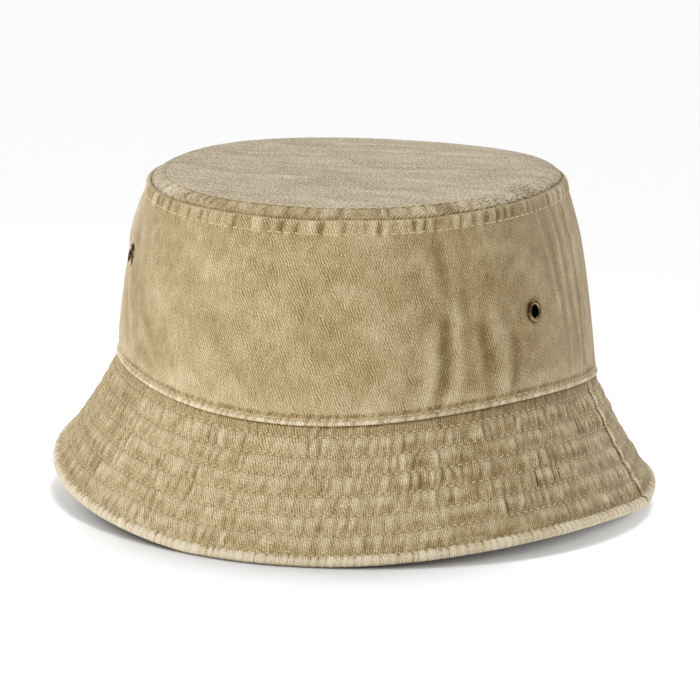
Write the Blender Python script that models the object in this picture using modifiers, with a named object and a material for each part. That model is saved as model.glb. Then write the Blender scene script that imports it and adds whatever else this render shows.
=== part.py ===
# Bucket hat in washed cotton twill: crown tip, side panels, quilted brim, sewing threads,
# tapes, sweatband and four two-piece ventilation eyelets, each as its own closed solid.
# Metres, +Z up, front towards -Y, origin at the bottom centre of the bounding box.
import math

import bmesh
import bpy
from mathutils import Matrix, Vector

MM = 0.001
UP = Vector((0.0, 0.0, 1.0))

# Angles are measured at the hat's axis from the front, positive towards +X.
STEPS = 54                      # angular steps shared by every ring, so the gaps stay even
STEP_DEG = 360.0 / STEPS
FIRST_DEG = STEP_DEG / 2.0      # a facet, not an edge, faces straight forward
SEAM_DEG = 90.0                 # side seams of the crown and of the brim
EYELETS = {                     # angle and height of each eyelet on the side panels
    "front_left": (66.5, 0.565), "front_right": (-57.0, 0.41),
    "back_left": (119.5, 0.53), "back_right": (-119.5, 0.53),
}

GAP = 0.3                       # air between neighbouring pieces, mm
CLOTH = 0.9                     # crown cloth, mm
BRIM_CLOTH = 0.7                # each brim layer, mm
STIFFENER = 0.5                 # brim interlining, mm
TAPE = 0.6                      # binding and seam tapes, mm
THREAD_R = 0.3                  # sewing thread, laid as a continuous line, mm

# Oval rings that the cloth is stretched between, all in mm: half width along X, half depth
# along Y, exponent of the oval, middle in X and Y, height, and how far the height waves
# with the cosine of one, two and three times the angle and with its sine.
TIP_RING = (72.4, 85.0, 2.15, -2.9, -2.3, 114.6, 0.0, 0.0, 0.0, 0.0)
BASE_RING = (85.0, 102.0, 2.05, -0.3, 0.0, 45.5, 2.5, -3.5, -1.5, -1.0)
EDGE_RING = (109.6, 126.0, 1.90, 0.0, 0.0, 0.0, 0.0, 0.0, 0.0, 0.0)
TIP_SLOPE = 0.040               # the tip rises towards the back
TIP_TILT = 0.010                # and a little towards +X
TIP_WAVE = -1.2                 # the tip seam sinks this much at front and back, and rises so at the sides
TIP_FLAT = 0.36                 # the middle of the tip, as a fraction of its radius, stays flat
FLOOR_ARC_DEG = 12.0            # half arc at front and back where the brim edge lies flat
EDGE_LIFT = 9.2                 # rise of the brim edge at the sides
EDGE_TILT = 5.0                 # the +X side rises this much less, the -X side this much more
LIFT_POWER = 1.6                # how slowly the edge leaves the floor
FRONT_LIFT_POWER = 1.15         # the same at the front of the -X side

TIP_RISE = 2.4                  # flat middle of the tip above the tip seam
TIP_HEM_IN = CLOTH + GAP + 0.1  # the tip's edge sits this far inside the panel's top edge

BRIM_ROWS = [0.084 + 0.138 * i for i in range(7)]   # stitch rows, as fractions of the brim
LAYER_ROWS = [0.03, 0.222, 0.498, 0.774, 0.93]      # rows of the plain layers under the quilting
BRIM_SAG = 1.2                  # hollow of the brim's slope half way down, mm
BRIM_PUFF = 0.7                 # padding height between two stitch rows, mm
HEM_IN = 1.0                    # the brim's seam allowance sits this far inside the crown line
HEM_TOP = 0.94                  # the allowance reaches up to this fraction of the side panel

EYELET_HOLE_R = 2.15
EYELET_BARREL_R = 2.45
EYELET_FLANGE_R = 4.2
PANEL_HOLE_R = 2.8
WASHER_HOLE_R = 2.8
WASHER_R = 4.6

# Side panel skin from the tip seam down: fraction of the way, bulge outwards in mm.
PANEL_ROWS = [
    (0.000, 0.0), (0.012, 1.1), (0.045, 2.0), (0.075, 1.8), (0.12, 2.4),
    (0.36, 2.7), (0.66, 2.0), (0.90, 0.8), (0.955, 0.4), (0.975, 1.2), (1.0, 1.4),
]
BAND_STITCH_ROW = 3
BASE_STITCH_ROW = 8

# Tip skin from the middle outwards: fraction of the radius, height above the seam in mm.
TIP_ROWS = [
    (TIP_FLAT, TIP_RISE), (0.70, TIP_RISE), (0.86, TIP_RISE - 0.2), (0.905, TIP_RISE - 0.9),
    (0.945, TIP_RISE - 0.7), (0.985, 1.0),
]
TIP_STITCH_ROW = 3


# --- scene helpers -----------------------------------------------------------------------

def clear_scene():
    for ob in list(bpy.data.objects):
        bpy.data.objects.remove(ob, do_unlink=True)
    for coll in list(bpy.data.collections):
        bpy.data.collections.remove(coll)


def make_collection(name):
    coll = bpy.data.collections.new(name)
    bpy.context.scene.collection.children.link(coll)
    return coll


def make_material(name, colour, roughness, metallic=0.0):
    mat = bpy.data.materials.new(name)
    mat.use_nodes = True
    shader = next(n for n in mat.node_tree.nodes if n.type == "BSDF_PRINCIPLED")
    shader.inputs["Base Color"].default_value = (*colour, 1.0)
    shader.inputs["Roughness"].default_value = roughness
    shader.inputs["Metallic"].default_value = metallic
    return mat


def add_object(name, data, mat, coll):
    ob = bpy.data.objects.new(name, data)
    if mat is not None:
        own = mat.copy()
        own.name = name
        data.materials.append(own)
    coll.objects.link(ob)
    return ob


# --- ovals and cloth skins ---------------------------------------------------------------

def column_degs():
    return [FIRST_DEG + STEP_DEG * i for i in range(STEPS)]


def panel_degs(front):
    """Columns of the front or back half, trimmed to leave a gap at each side seam."""
    trim = math.degrees(0.5 * (GAP + 0.05) / 88.0)
    lo, hi = (-SEAM_DEG, SEAM_DEG) if front else (SEAM_DEG, 360.0 - SEAM_DEG)
    count = round((hi - lo) / STEP_DEG)
    degs = [lo + STEP_DEG * i for i in range(count + 1)]
    degs[0] += trim
    degs[-1] -= trim
    return degs


def ring_point(ring, deg):
    half_x, half_y, power, mid_x, mid_y, height, cos_1, cos_2, cos_3, sin_1 = ring
    a = math.radians(deg)
    s, c = math.sin(a), math.cos(a)
    x = mid_x + math.copysign(abs(s) ** (2.0 / power), s) * half_x
    y = mid_y - math.copysign(abs(c) ** (2.0 / power), c) * half_y
    wave = cos_1 * c + cos_2 * math.cos(2.0 * a) + cos_3 * math.cos(3.0 * a) + sin_1 * s
    return Vector((x, y, height + wave)) * MM


def edge_point(deg):
    """The brim edge: flat on the floor at front and back, lifted a little at the sides."""
    p = ring_point(EDGE_RING, deg)
    from_y = abs((deg + 90.0) % 180.0 - 90.0)
    span = max(0.0, from_y - FLOOR_ARC_DEG) / (90.0 - FLOOR_ARC_DEG)
    power = FRONT_LIFT_POWER if 270.0 < deg % 360.0 < 360.0 else LIFT_POWER
    lift = EDGE_LIFT * math.sin(0.5 * math.pi * span) ** power
    p.z = (lift - EDGE_TILT * math.sin(math.radians(deg)) * span ** 3) * MM
    return p


def tip_plane(x, y, height):
    """A point over or under the sloping plane that the middle of the tip lies in."""
    slope = TIP_SLOPE * (y - TIP_RING[4] * MM) + TIP_TILT * (x - TIP_RING[3] * MM)
    return Vector((x, y, (TIP_RING[5] + height) * MM + slope))


def tip_wave(deg, frac):
    """Height of the tip over that plane, in mm: none in the flat middle, most at the seam."""
    reach = max(0.0, frac - TIP_FLAT) / (1.0 - TIP_FLAT)
    return TIP_WAVE * math.cos(math.radians(2.0 * deg)) * reach ** 2


def outward(point_at, deg):
    """Horizontal unit vector pointing out of the oval."""
    along = point_at(deg + 0.5) - point_at(deg - 0.5)
    out = along.cross(UP)
    return out.normalized()


def tip_seam(deg):
    p = ring_point(TIP_RING, deg)
    return tip_plane(p.x, p.y, tip_wave(deg, 1.0))


def crown_base(deg):
    return ring_point(BASE_RING, deg)


def across(start, end, deg, t, off):
    """A point a fraction t of the way from ring to ring, off mm out along the normal."""
    a, b = start(deg), end(deg)
    along = (b - a).normalized()
    out = outward(end, deg)
    normal = (out - along * out.dot(along)).normalized()
    return a.lerp(b, t) + normal * off * MM


def crown_point(deg, t, off):
    return across(tip_seam, crown_base, deg, t, off)


def hem_point(deg, t, depth):
    """Seam allowance of a brim layer, turned up inside the crown."""
    return crown_point(deg, t, -(HEM_IN + depth))


def brim_top(deg):
    """Ring where the brim leaves the crown, just inside the crown's bottom edge."""
    return hem_point(deg, 1.0, 0.0)


def brim_point(deg, t, off):
    return across(brim_top, edge_point, deg, t, off - BRIM_SAG * 4.0 * t * (1.0 - t))


def tip_point(deg, frac, height):
    rim = tip_seam(deg) - outward(tip_seam, deg) * TIP_HEM_IN * MM
    middle = Vector((TIP_RING[3], TIP_RING[4], 0.0)) * MM
    flat = middle.lerp(rim, frac)
    return tip_plane(flat.x, flat.y, height + tip_wave(deg, frac))


def skin(name, rows, closed, cap_first=False):
    """An open surface through rows of points that run from top to bottom."""
    bm = bmesh.new()
    grid = [[bm.verts.new(p) for p in row] for row in rows]
    count = len(rows[0])
    last = count if closed else count - 1
    for upper, lower in zip(grid, grid[1:]):
        for i in range(last):
            j = (i + 1) % count
            bm.faces.new((upper[i], lower[i], lower[j], upper[j]))
    if cap_first:
        bm.faces.new(grid[0])
    mesh = bpy.data.meshes.new(name)
    bm.to_mesh(mesh)
    bm.free()
    return mesh


def cloth(name, rows, closed, thickness, mat, coll, cap_first=False):
    """The skin thickened inwards into a closed sheet."""
    ob = add_object(name, skin(name, rows, closed, cap_first), mat, coll)
    mod = ob.modifiers.new("thickness", "SOLIDIFY")
    mod.thickness = thickness * MM
    mod.offset = -1.0
    mod.use_even_offset = True
    mod.use_rim = True
    return ob


def thread(name, points, mat, coll):
    """A closed line of thread through the given points."""
    curve = bpy.data.curves.new(name, "CURVE")
    curve.dimensions = "3D"
    curve.bevel_depth = THREAD_R * MM
    curve.bevel_resolution = 0
    spline = curve.splines.new("POLY")
    spline.points.add(len(points) - 1)
    for slot, p in zip(spline.points, points):
        slot.co = (*p, 1.0)
    spline.use_cyclic_u = True
    return add_object(name, curve, mat, coll)


# --- crown -------------------------------------------------------------------------------

def build_crown(mats, coll, cutter_coll):
    tip_rows = [[tip_point(d, f, h) for d in column_degs()] for f, h in TIP_ROWS]
    tip_rows += [[tip_point(d, 1.0, h) for d in column_degs()] for h in (0.2, -3.0)]
    cloth("crown_tip", tip_rows, True, CLOTH, mats["twill"], coll, cap_first=True)

    cutters = [eyelet_cutter(name, spot, cutter_coll) for name, spot in EYELETS.items()]
    for half in ("front", "back"):
        rows = [[crown_point(d, t, off) for d in panel_degs(half == "front")]
                for t, off in PANEL_ROWS]
        panel = cloth("side_panel_" + half, rows, False, CLOTH, mats["twill"], coll)
        for cutter in cutters:
            if half in cutter.name:
                hole = panel.modifiers.new("eyelet_hole", "BOOLEAN")
                hole.operation = "DIFFERENCE"
                hole.solver = "EXACT"
                hole.object = cutter

    binding_in = TIP_HEM_IN + CLOTH + GAP
    binding = [[tip_seam(d) - outward(tip_seam, d) * binding_in * MM + UP * height * MM
                for d in column_degs()] for height in (-0.8, -9.0)]
    cloth("tip_seam_binding", binding, True, TAPE, mats["tape"], coll)

    tape_off = CLOTH + GAP
    for side, sign in (("left", 1.0), ("right", -1.0)):
        degs = [sign * SEAM_DEG + d for d in (-3.3, 0.0, 3.3)]
        rows = [[crown_point(d, t, off - tape_off) for d in degs]
                for t, off in PANEL_ROWS[4:8]]
        cloth("side_seam_tape_" + side, rows, False, TAPE, mats["tape"], coll)

    band = [[crown_point(d, t, -4.0) for d in column_degs()] for t in (0.60, 0.82, 1.03)]
    cloth("sweatband", band, True, 0.8, mats["sweatband"], coll)

    lift = THREAD_R + GAP + 0.05
    f, h = TIP_ROWS[TIP_STITCH_ROW]
    thread("tip_topstitch", [tip_point(d, f, h + lift) for d in column_degs()],
           mats["thread"], coll)
    seams = (("band_topstitch", BAND_STITCH_ROW), ("crown_base_topstitch", BASE_STITCH_ROW))
    for name, row in seams:
        t, off = PANEL_ROWS[row]
        thread(name, [crown_point(d, t, off + lift) for d in column_degs()],
               mats["thread"], coll)


# --- eyelets -----------------------------------------------------------------------------

def eyelet_frame(spot):
    """Middle of the eyelet on the panel's outer skin, with +Z out of the crown."""
    deg, t = spot
    lo, hi = PANEL_ROWS[5], PANEL_ROWS[6]
    mix = (t - lo[0]) / (hi[0] - lo[0])
    off = lo[1] + (hi[1] - lo[1]) * mix
    half = STEP_DEG / 2.0
    left, right = crown_point(deg - half, t, off), crown_point(deg + half, t, off)
    top = (crown_point(deg - half, *lo) + crown_point(deg + half, *lo)) / 2.0
    bottom = (crown_point(deg - half, *hi) + crown_point(deg + half, *hi)) / 2.0
    x_axis = (right - left).normalized()
    z_axis = (bottom - top).cross(right - left).normalized()
    y_axis = z_axis.cross(x_axis)
    rot = Matrix((x_axis, y_axis, z_axis)).transposed().to_4x4()
    return Matrix.Translation((left + right) / 2.0) @ rot


def eyelet_cutter(name, spot, coll):
    bm = bmesh.new()
    bmesh.ops.create_cone(bm, cap_ends=True, segments=16, radius1=PANEL_HOLE_R * MM,
                          radius2=PANEL_HOLE_R * MM, depth=6.0 * MM)
    mesh = bpy.data.meshes.new("cutter_" + name)
    bm.to_mesh(mesh)
    bm.free()
    ob = add_object("cutter_" + name, mesh, None, coll)
    ob.matrix_world = eyelet_frame(spot)
    ob.hide_render = True
    ob.display_type = "WIRE"
    return ob


def turned(name, profile, frame, mat, coll):
    """A closed ring turned about its own Z from a closed profile of (radius, height) in mm."""
    mesh = bpy.data.meshes.new(name)
    count = len(profile)
    edges = [(i, (i + 1) % count) for i in range(count)]
    mesh.from_pydata([(r * MM, 0.0, z * MM) for r, z in profile], edges, [])
    ob = add_object(name, mesh, mat, coll)
    ob.matrix_world = frame
    mod = ob.modifiers.new("turn", "SCREW")
    mod.axis = "Z"
    mod.angle = 2.0 * math.pi
    mod.steps = mod.render_steps = 16
    mod.use_merge_vertices = True
    mod.merge_threshold = 0.00001
    mod.use_normal_calculate = True
    return ob


def build_eyelets(mats, coll):
    bottom = -(CLOTH + 2.0 * GAP + 0.5)
    barrel = [
        (EYELET_HOLE_R, 0.9), (EYELET_HOLE_R, bottom), (EYELET_BARREL_R, bottom),
        (EYELET_BARREL_R, GAP), (EYELET_FLANGE_R - 0.5, GAP), (EYELET_FLANGE_R, GAP + 0.3),
        (EYELET_FLANGE_R - 0.6, 1.1), (EYELET_HOLE_R + 0.7, 1.3),
    ]
    top = -(CLOTH + GAP)
    ring = [
        (WASHER_HOLE_R, top), (WASHER_HOLE_R, top - 0.5), (WASHER_R - 0.4, top - 0.5),
        (WASHER_R, top - 0.2), (WASHER_R - 0.2, top),
    ]
    for name, spot in EYELETS.items():
        frame = eyelet_frame(spot)
        turned("eyelet_" + name, barrel, frame, mats["brass"], coll)
        turned("eyelet_washer_" + name, ring, frame, mats["brass"], coll)


# --- brim --------------------------------------------------------------------------------

def upper_rows(degs):
    """Outer skin of the brim: hidden hem, quilted slope, edge rolled under and flat below."""
    rows = [[hem_point(d, HEM_TOP, 0.0) for d in degs], [brim_top(d) for d in degs]]
    last = 0.0
    for t in BRIM_ROWS:
        if last > 0.0:
            rows.append([brim_point(d, 0.5 * (last + t), BRIM_PUFF) for d in degs])
        rows.append([brim_point(d, t, 0.0) for d in degs])
        last = t
    rows.append([brim_point(d, 0.955, BRIM_PUFF) for d in degs])
    for out, height in ((0.4, 1.6), (-0.8, 0.0), (-3.2, 0.0)):
        rows.append([edge_point(d) + outward(edge_point, d) * out * MM + UP * height * MM
                     for d in degs])
    return rows


def build_brim(mats, coll):
    under_off = BRIM_CLOTH + STIFFENER + 2.0 * GAP
    for half in ("front", "back"):
        degs = panel_degs(half == "front")
        cloth("brim_upper_" + half, upper_rows(degs), False, BRIM_CLOTH, mats["twill"], coll)

        off = BRIM_CLOTH + GAP
        rows = [[brim_point(d, t, -off) for d in degs] for t in LAYER_ROWS]
        cloth("brim_interlining_" + half, rows, False, STIFFENER, mats["interlining"], coll)

        rows = [[hem_point(d, t, under_off + 0.1) for d in degs] for t in (HEM_TOP, 1.0)]
        rows += [[brim_point(d, t, -under_off) for d in degs] for t in LAYER_ROWS[1:-1] + [0.90]]
        cloth("brim_under_" + half, rows, False, BRIM_CLOTH, mats["underside"], coll)

    lift = THREAD_R + GAP + 0.05
    for i, t in enumerate(BRIM_ROWS):
        thread("brim_stitch_row_%d" % (i + 1), [brim_point(d, t, lift) for d in column_degs()],
               mats["thread"], coll)


def main():
    clear_scene()
    coll = make_collection("bucket_hat")
    cutter_coll = make_collection("cutters")
    mats = {
        "twill": make_material("twill", (0.47, 0.36, 0.205), 0.9),
        "underside": make_material("underside", (0.44, 0.335, 0.19), 0.9),
        "tape": make_material("tape", (0.40, 0.30, 0.17), 0.9),
        "sweatband": make_material("sweatband", (0.42, 0.32, 0.18), 0.88),
        "interlining": make_material("interlining", (0.62, 0.60, 0.55), 0.95),
        "thread": make_material("thread", (0.60, 0.50, 0.33), 0.75),
        "brass": make_material("antique_brass", (0.30, 0.21, 0.10), 0.42, 1.0),
    }
    build_crown(mats, coll, cutter_coll)
    build_eyelets(mats, coll)
    build_brim(mats, coll)


main()
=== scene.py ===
# Bucket hat: cloth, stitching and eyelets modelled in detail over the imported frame.
import math

import bmesh
import bpy
import numpy as np
from mathutils import Matrix, Vector


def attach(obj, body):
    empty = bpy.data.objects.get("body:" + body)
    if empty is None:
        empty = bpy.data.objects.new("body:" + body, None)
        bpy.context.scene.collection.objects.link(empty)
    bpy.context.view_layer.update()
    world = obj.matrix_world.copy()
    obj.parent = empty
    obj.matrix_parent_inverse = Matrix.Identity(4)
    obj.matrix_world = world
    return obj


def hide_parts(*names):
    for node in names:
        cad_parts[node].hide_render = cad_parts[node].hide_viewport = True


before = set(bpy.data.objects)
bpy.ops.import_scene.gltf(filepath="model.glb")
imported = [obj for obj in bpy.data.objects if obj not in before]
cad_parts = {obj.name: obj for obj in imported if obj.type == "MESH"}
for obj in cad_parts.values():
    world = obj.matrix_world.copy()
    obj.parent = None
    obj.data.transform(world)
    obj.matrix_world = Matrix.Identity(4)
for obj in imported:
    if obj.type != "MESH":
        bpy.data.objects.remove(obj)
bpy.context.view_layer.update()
DETAIL = 1.0

join = np.concatenate
MM = 0.001
UV_PER_MM = 0.01                # the "cloth" UV map, for each mm of cloth
SEAM_DEG = 90.0                 # side seams, from the front
HALVES = {"front": (-SEAM_DEG, SEAM_DEG), "back": (SEAM_DEG, 360.0 - SEAM_DEG)}
UP = np.array([0.0, 0.0, 1.0])

# The same ovals as the solids, in mm: half width, half depth, exponent, middle x and y.
TIP_OVAL = (72.4, 85.0, 2.15, -2.9, -2.3)
BASE_OVAL = (85.0, 102.0, 2.05, -0.3, 0.0)
EDGE_OVAL = (109.6, 126.0, 1.90, 0.0, 0.0)
TIP_HEIGHT = 114.6
TIP_SLOPE, TIP_TILT = 0.040, 0.010      # rise towards the back and towards +X
TIP_WAVE = -1.2                 # how far the tip seam waves, mm
TIP_FLAT = 0.36                 # the middle share of the tip that stays flat
FLOOR_ARC_DEG = 12.0            # the edge touches the floor this far round from front and back
EDGE_LIFT, EDGE_TILT = 9.2, 5.0         # rise at the sides, less at +X and more at -X, mm
LIFT_POWER, FRONT_LIFT_POWER = 1.6, 1.15
BRIM_ROWS = [0.084 + 0.138 * i for i in range(7)]
BRIM_SAG = 1.2                  # mm, in the middle of the brim's slope
BAND_ROW, BASE_ROW = 0.070, 0.975       # the crown's two rows, from top (0) to bottom (1)
PANEL_MM = 69.0                 # height of the side panel along the cloth
BRIM_MM = 50.0                  # depth of the brim along the cloth
CROWN_CLOTH, BRIM_CLOTH = 0.5, 0.4      # thickness, mm


# --- noise ---

NOISE_ROWS = 97


def value_noise(u, v, cells_u, seed):
    """Smooth noise from -1 to 1 that repeats after cells_u cells along u."""
    cells_u = max(2, int(round(cells_u)))
    table = np.random.RandomState(seed).rand(cells_u, NOISE_ROWS) * 2.0 - 1.0
    u = np.asarray(u, float) * cells_u
    v = np.asarray(v, float) + 1000.0
    iu, iv = np.floor(u).astype(int), np.floor(v).astype(int)
    fu, fv = u - iu, v - iv
    fu, fv = (f * f * f * (f * (f * 6 - 15) + 10) for f in (fu, fv))
    a, b, c, d = (table[(iu + k) % cells_u, (iv + m) % NOISE_ROWS] for m in (0, 1) for k in (0, 1))
    return (a * (1 - fu) + b * fu) * (1 - fv) + (c * (1 - fu) + d * fu) * fv


def fractal(u, v, cells_u, seed, octaves=3, gain=0.5):
    total, amp, norm = 0.0, 1.0, 0.0
    for k in range(octaves):
        finer = 2 ** k
        total = total + amp * value_noise(u, np.asarray(v) * finer, cells_u * finer, seed + 17 * k)
        norm += amp
        amp *= gain
    return total / norm


def puckers(length, lo, hi, seed, crease=0.55):
    """Uneven puckers along a seam lo to hi mm wide: crests above 0, sharper creases below."""
    rs = np.random.RandomState(seed)
    widths = rs.uniform(lo, hi, int(2 * length / (lo + hi)))
    edges = join([[0.0], np.cumsum(widths)]) * (length / widths.sum())
    size = rs.uniform(0.1, 1.0, len(widths))
    depth = rs.uniform(0.0, 1.0, len(edges)) ** 1.3
    depth[-1] = depth[0]
    x = np.arange(0.0, length, 0.15)
    i = np.clip(np.searchsorted(edges, x, side="right") - 1, 0, len(widths) - 1)
    s = (x - edges[i]) / (edges[i + 1] - edges[i])
    near = np.minimum(x - edges[i], edges[i + 1] - x)
    table = size[i] * np.sin(np.pi * s) ** 0.8
    table = table - np.where(s < 0.5, depth[i], depth[i + 1]) * np.exp(-(near / crease) ** 2)
    table = table - table.mean()
    return lambda u_mm: np.interp(u_mm, x, table, period=length)


def bump(x, middle, width):
    return np.exp(-((np.asarray(x, float) - middle) / width) ** 2)


def smooth(x, lo, hi):
    t = np.clip((np.asarray(x, float) - lo) / (hi - lo), 0.0, 1.0)
    return t * t * (3 - 2 * t)


# --- ovals ---

def oval(deg, shape):
    half_x, half_y, power, mid_x, mid_y = shape
    a = np.radians(deg)
    s, c = np.sin(a), np.cos(a)
    x = mid_x + np.sign(s) * np.abs(s) ** (2.0 / power) * half_x
    y = mid_y - np.sign(c) * np.abs(c) ** (2.0 / power) * half_y
    return x, y


def outward_of(deg, shape):
    xa, ya = oval(deg + 0.5, shape)
    xb, yb = oval(deg - 0.5, shape)
    dx, dy = xa - xb, ya - yb
    length = np.hypot(dx, dy)
    return np.stack([dy / length, -dx / length, np.zeros_like(dx)], -1)


def tip_wave(deg, frac):
    """The tip seam sinks at front and back and rises at the sides; the middle stays flat."""
    reach = np.maximum(0.0, frac - TIP_FLAT) / (1.0 - TIP_FLAT)
    return TIP_WAVE * np.cos(np.radians(2.0 * deg)) * reach ** 2


def tip_seam(deg, frac=1.0):
    x, y = oval(deg, TIP_OVAL)
    slope = TIP_SLOPE * (y - TIP_OVAL[4]) + TIP_TILT * (x - TIP_OVAL[3])
    return np.stack([x, y, TIP_HEIGHT + slope + tip_wave(deg, frac)], -1)


def crown_base(deg):
    x, y = oval(deg, BASE_OVAL)
    a = np.radians(deg)
    z = 45.5 + 2.5 * np.cos(a) - 3.5 * np.cos(2 * a) - 1.5 * np.cos(3 * a) - 1.0 * np.sin(a)
    return np.stack([x, y, z], -1)


def brim_edge(deg):
    x, y = oval(deg, EDGE_OVAL)
    from_y = np.abs((deg + 90.0) % 180.0 - 90.0)
    span = np.maximum(0.0, from_y - FLOOR_ARC_DEG) / (90.0 - FLOOR_ARC_DEG)
    power = np.where(np.asarray(deg) % 360.0 > 270.0, FRONT_LIFT_POWER, LIFT_POWER)
    lift = EDGE_LIFT * np.sin(0.5 * np.pi * span) ** power
    return np.stack([x, y, lift - EDGE_TILT * np.sin(np.radians(deg)) * span ** 3], -1)


def unit(v):
    return v / np.maximum(np.linalg.norm(v, axis=-1, keepdims=True), 1e-9)


def frame_between(start, end, shape, deg):
    """Start, end, and the unit vector square to the line between them, pointing out."""
    a, b = start(deg), end(deg)
    along = unit(b - a)
    out = outward_of(deg, shape)
    normal = unit(out - along * (out * along).sum(-1, keepdims=True))
    return a, b, normal


def between(line, t, off):
    """Points at shares t of the way along lines from frame_between, and off mm outside them."""
    start, end, normal = line
    t = t[..., None]
    return start * (1 - t) + end * t + normal * off[..., None]


def crown_line(deg):
    return frame_between(tip_seam, crown_base, BASE_OVAL, deg)


def brim_top(deg):
    _, base, normal = crown_line(deg)
    return base - normal        # 1 mm inside the crown's skin


def brim_line(deg):
    return frame_between(brim_top, brim_edge, EDGE_OVAL, deg)


ARC_DEGS = np.linspace(-180.0, 180.0, 2881)


def arc_table(point_at):
    pts = point_at(ARC_DEGS)
    step = np.linalg.norm(np.diff(pts, axis=0), axis=1)
    length = join([[0.0], np.cumsum(step)])
    return length - np.interp(0.0, ARC_DEGS, length), length[-1]


BASE_ARC, BASE_ROUND = arc_table(crown_base)
EDGE_ARC, EDGE_ROUND = arc_table(brim_edge)
TIP_ARC, TIP_ROUND = arc_table(tip_seam)


def arc_of(deg, table):
    """Distance along a ring from the front, in mm."""
    turns = np.floor((np.asarray(deg, float) + 180.0) / 360.0)
    return np.interp(deg - 360.0 * turns, ARC_DEGS, table) + turns * (table[-1] - table[0])


class Cut:
    """Flat pattern of a cone-shaped piece: where its points lay on the cloth, in mm."""

    def __init__(self, small_round, big_round, depth):
        self.radius = big_round * depth / (big_round - small_round)
        self.angle = 0.25 * big_round / self.radius       # half a panel's spread, radians
        self.width = 2 * self.radius * math.sin(self.angle)
        self.length = self.radius - (self.radius - depth) * math.cos(self.angle)
        self.area = 0.25 * (small_round + big_round) * depth

    def place(self, arc, down, depth, middle):
        """Cloth coordinates of points at a distance along the wide edge and down the slope."""
        turn = (arc - middle) / self.radius
        r = self.radius - depth + down
        return r * np.sin(turn) + middle, self.radius - r * np.cos(turn)


def columns(lo, hi, pitch, table):
    """Angles from lo to hi at even distances along a ring."""
    a, b = arc_of(lo, table), arc_of(hi, table)
    count = int(round((b - a) / pitch * DETAIL))
    fine = np.linspace(lo, hi, 1500)
    return np.interp(np.linspace(a, b, count + 1), arc_of(fine, table), fine)


# --- meshes ---

def normals_of(pts):
    """Outward normals of a grid of points, rows from top to bottom, columns towards +X."""
    return unit(np.cross(np.gradient(pts, axis=0), np.gradient(pts, axis=1)))


def new_mesh(name, verts, faces, loops_uv=None, attrs=None):
    mesh = bpy.data.meshes.new(name)
    faces = np.asarray(faces, np.int32)
    n, k = faces.shape
    mesh.vertices.add(len(verts))
    mesh.vertices.foreach_set("co", np.asarray(verts, np.float32).ravel() * MM)
    mesh.loops.add(n * k)
    mesh.loops.foreach_set("vertex_index", faces.ravel())
    mesh.polygons.add(n)
    mesh.polygons.foreach_set("loop_start", np.arange(0, n * k, k, dtype=np.int32))
    mesh.polygons.foreach_set("use_smooth", np.full(n, True))
    if loops_uv is not None:
        layer = mesh.uv_layers.new(name="cloth")
        layer.data.foreach_set("uv", np.asarray(loops_uv, np.float32).ravel())
    for key, values in (attrs or {}).items():
        attr = mesh.attributes.new(key, "FLOAT", "POINT")
        attr.data.foreach_set("value", np.asarray(values, np.float32).ravel())
    mesh.update(calc_edges=True)
    mesh.validate()
    return mesh


def add_piece(name, mesh, mat, nodes=()):
    ob = bpy.data.objects.new(name, mesh)
    bpy.context.scene.collection.objects.link(ob)
    mesh.materials.append(mat)
    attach(ob, "root")
    if nodes:
        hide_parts(*nodes)
    return ob


def grid_faces(rows, cols, closed):
    r = np.arange(rows - 1)[:, None]
    c = np.arange(cols if closed else cols - 1)[None, :]
    top, low, d = r * cols, (r + 1) * cols, (c + 1) % cols
    return np.stack([top + c, low + c, low + d, top + d], -1).reshape(-1, 4)


def grid_mesh(name, pts, closed, u_mm, v_mm, tone, keep=None, wash=0.0):
    """Mesh of a grid of points. u_mm and v_mm are the cloth's own coordinates in mm."""
    rows, cols = pts.shape[:2]
    faces = grid_faces(rows, cols, closed)
    u = np.broadcast_to(u_mm, (rows, cols)).ravel()
    v = np.broadcast_to(v_mm, (rows, cols)).ravel()
    lu, lv = u[faces], v[faces]
    if closed:                  # the faces that close the ring run on past its end
        span = u.max() - u.min()
        wrap = (lu.max(1) - lu.min(1)) > span / 2
        lu = np.where(wrap[:, None] & (lu < u.min() + span / 2), lu + span * cols / (cols - 1), lu)
    if keep is not None:
        ok = keep.ravel()[faces].all(1)
        faces, lu, lv = faces[ok], lu[ok], lv[ok]
    return new_mesh(name, pts.reshape(-1, 3), faces, np.stack([lu, lv], -1) * UV_PER_MM,
                    {"tone": tone, "wash": np.broadcast_to(wash, (rows, cols))})


def finish_cloth(ob, thickness, width, length, area):
    """Cut size in mm, mm2: not used."""
    mod = ob.modifiers.new("cloth thickness", "SOLIDIFY")
    mod.thickness = thickness * MM
    mod.offset = -1.0
    mod.use_rim = True


def add_cloth(node, grid, cloth, tone, look, thickness, cut_size, closed=False, **marks):
    """One piece of cloth, in the place of a CAD solid, from a grid of points. cloth is the
    grid's place on the cut piece in mm, and look holds its material and a slot that is not used."""
    mesh = grid_mesh(node + "_cloth", grid, closed, *cloth, tone, **marks)
    ob = add_piece(node + "_cloth", mesh, MATS[look[0]], [node])
    finish_cloth(ob, thickness, *cut_size)


def box_blur(h, n):
    """Mean over the nearest 2n + 1 rows and columns, used to tell crests from hollows."""
    for _ in range(2):
        total = np.cumsum(np.pad(h, ((n + 1, n), (0, 0)), mode="edge"), axis=0)
        h = ((total[2 * n + 1:] - total[:-2 * n - 1]) / (2 * n + 1)).T
    return h


def relief(h, reach):
    """How far each point stands over its surroundings, scaled to about -1 to 1."""
    return np.clip((h - box_blur(h, max(1, int(reach * DETAIL)))) / 0.45, -1.0, 1.0)


# --- stitches ---

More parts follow.
